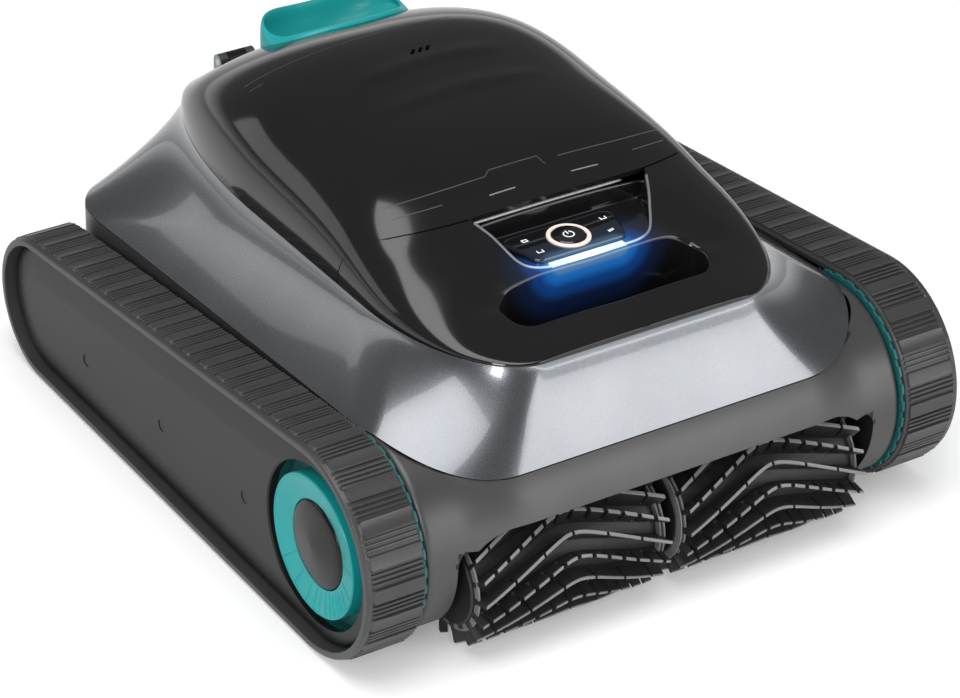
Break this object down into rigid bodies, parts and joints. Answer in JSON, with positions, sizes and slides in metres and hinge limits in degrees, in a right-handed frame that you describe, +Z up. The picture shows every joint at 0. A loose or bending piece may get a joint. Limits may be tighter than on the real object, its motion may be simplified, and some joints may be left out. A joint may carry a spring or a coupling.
{
  "type": "pool cleaner",
  "caption": "Low tracked pool cleaner: dark domed lid over a metallic shell, ribbed side belts, bladed front roller brush, grip and power button in front, raised water outlet at the rear.",
  "frame": {"origin": "on the floor under the middle of the machine's overall box", "axes": "+Z up; the brush faces -Y; +X is to the right of someone who faces the brush"},
  "size_m": [0.42, 0.4609, 0.2322],
  "materials": {
    "gunmetal_shell": "glossy metallic paint on a moulded shell",
    "bumper_metal": "satin metallic paint",
    "roof_black": "glossy black, slightly smoky",
    "panel_black": "gloss",
    "light": "ribbed light guide, lit blue",
    "rose_ring": "satin rose metal",
    "cover_black": "matte, finely textured",
    "belt_rubber": "ribbed rubber",
    "brush_rubber": "soft rubber, cut into segments",
    "teal": "satin teal moulding",
    "black_plastic": "moulded black plastic",
    "grey_plastic": "moulded grey plastic",
    "steel": "turned steel",
    "bronze": "sintered bearing bronze",
    "board": "circuit board",
    "mesh": "woven filter mesh",
    "seal": "soft black seal",
    "battery": "shrink-wrapped cells",
    "motor_can": "satin",
    "gear_nylon": "white nylon",
    "port_flap": "soft teal rubber"
  },
  "bodies": {
    "root": {"upper_shell": "gunmetal_shell", "lower_body": "bumper_metal", "console": "roof_black", "control_panel": "panel_black", "light_bar": "light", "button_ring": "rose_ring", "control_board": "board", "hinge_brackets": "gunmetal_shell", "hinge_pins": "steel", "outlet_duct": "grey_plastic", "pump_motor": "motor_can", "basket_frame": "black_plastic", "basket_mesh": "mesh", "intake_frame": "black_plastic", "flap_pin": "steel", "battery_pack": "battery", "drive_motor_left": "motor_can", "drive_motor_right": "motor_can", "drive_bearings": "bronze", "idler_axles": "steel", "belt_left": "belt_rubber", "belt_right": "belt_rubber", "track_frame_left": "black_plastic", "track_frame_right": "black_plastic", "side_cover_left": "cover_black", "side_cover_right": "cover_black", "brush_hanger": "grey_plastic", "charging_port": "black_plastic", "cover_screws": "steel"},
    "lid": {"lid": "roof_black", "lid_seal": "seal", "lid_catch": "black_plastic", "outlet_cowl": "teal", "outlet_grille": "black_plastic"},
    "power_button": {"power_button": "panel_black"},
    "pump_rotor": {"pump_shaft": "steel", "propeller": "teal"},
    "basket_handle": {"basket_handle": "teal"},
    "port_cap": {"port_cap": "port_flap"},
    "drive_wheel_left": {"drive_sprocket_left": "teal", "drive_axle_left": "steel", "brush_drive_gear_left": "gear_nylon", "hub_ring_left": "teal", "hub_cap_left": "panel_black"},
    "motor_pinion_left": {"motor_pinion_left": "bronze"},
    "brush_left": {"brush_core_left": "black_plastic", "brush_blades_left": "brush_rubber"},
    "idler_left": {"idler_wheel_left": "teal"},
    "intake_flap_left": {"intake_flap_left": "seal"},
    "drive_wheel_right": {"drive_sprocket_right": "teal", "drive_axle_right": "steel", "brush_drive_gear_right": "gear_nylon", "hub_ring_right": "teal", "hub_cap_right": "panel_black"},
    "motor_pinion_right": {"motor_pinion_right": "bronze"},
    "brush_right": {"brush_core_right": "black_plastic", "brush_blades_right": "brush_rubber"},
    "idler_right": {"idler_wheel_right": "teal"},
    "intake_flap_right": {"intake_flap_right": "seal"}
  },
  "joints": [
    {"name": "lid_hinge", "type": "hinge", "parent": "root", "child": "lid", "pos_m": [0, 0.22235, 0.1685], "axis": [-1, 0, 0], "range_deg": [0, 75]},
    {"name": "power_button_press", "type": "slide", "parent": "root", "child": "power_button", "axis": [0, 0, -1], "range_m": [0, 0.0012], "stiffness_N_per_m": 600, "springref_m": -0.0006},
    {"name": "propeller_spin", "type": "hinge", "parent": "root", "child": "pump_rotor", "pos_m": [0, 0.15585, 0.1], "axis": [0, 0, 1], "continuous": true},
    {"name": "basket_handle_swing", "type": "hinge", "parent": "root", "child": "basket_handle", "pos_m": [0, -0.00415, 0.147], "axis": [1, 0, 0], "range_deg": [0, 90]},
    {"name": "port_cap_swing", "type": "hinge", "parent": "root", "child": "port_cap", "pos_m": [0.118, 0.22895, 0.087], "axis": [1, 0, 0], "range_deg": [0, 100]},
    {"name": "drive_wheel_left_spin", "type": "hinge", "parent": "root", "child": "drive_wheel_left", "pos_m": [-0.19, -0.15515, 0.0678], "axis": [1, 0, 0], "continuous": true},
    {"name": "motor_pinion_left_spin", "type": "hinge", "parent": "root", "child": "motor_pinion_left", "pos_m": [-0.16, -0.1139, 0.0678], "axis": [1, 0, 0], "continuous": true},
    {"name": "brush_left_spin", "type": "hinge", "parent": "root", "child": "brush_left", "pos_m": [-0.08, -0.18855, 0.042], "axis": [1, 0, 0], "continuous": true},
    {"name": "idler_left_spin", "type": "hinge", "parent": "root", "child": "idler_left", "pos_m": [-0.19, 0.18085, 0.0494], "axis": [1, 0, 0], "continuous": true},
    {"name": "intake_flap_left_swing", "type": "hinge", "parent": "root", "child": "intake_flap_left", "pos_m": [-0.033, -0.03065, 0.052], "axis": [-1, 0, 0], "range_deg": [0, 70]},
    {"name": "drive_wheel_right_spin", "type": "hinge", "parent": "root", "child": "drive_wheel_right", "pos_m": [0.19, -0.15515, 0.0678], "axis": [1, 0, 0], "continuous": true},
    {"name": "motor_pinion_right_spin", "type": "hinge", "parent": "root", "child": "motor_pinion_right", "pos_m": [0.16, -0.1139, 0.0678], "axis": [1, 0, 0], "continuous": true},
    {"name": "brush_right_spin", "type": "hinge", "parent": "root", "child": "brush_right", "pos_m": [0.08, -0.18855, 0.042], "axis": [1, 0, 0], "continuous": true},
    {"name": "idler_right_spin", "type": "hinge", "parent": "root", "child": "idler_right", "pos_m": [0.19, 0.18085, 0.0494], "axis": [1, 0, 0], "continuous": true},
    {"name": "intake_flap_right_swing", "type": "hinge", "parent": "root", "child": "intake_flap_right", "pos_m": [0.033, -0.03065, 0.052], "axis": [-1, 0, 0], "range_deg": [0, 70]}
  ],
  "couplings": [
    {"joint": "motor_pinion_left_spin", "follows": "drive_wheel_left_spin", "ratio": 6.5},
    {"joint": "brush_left_spin", "follows": "drive_wheel_left_spin", "ratio": -2.6667},
    {"joint": "idler_left_spin", "follows": "drive_wheel_left_spin", "ratio": 1.424},
    {"joint": "motor_pinion_right_spin", "follows": "drive_wheel_right_spin", "ratio": 6.5},
    {"joint": "brush_right_spin", "follows": "drive_wheel_right_spin", "ratio": -2.6667},
    {"joint": "idler_right_spin", "follows": "drive_wheel_right_spin", "ratio": 1.424}
  ]
}
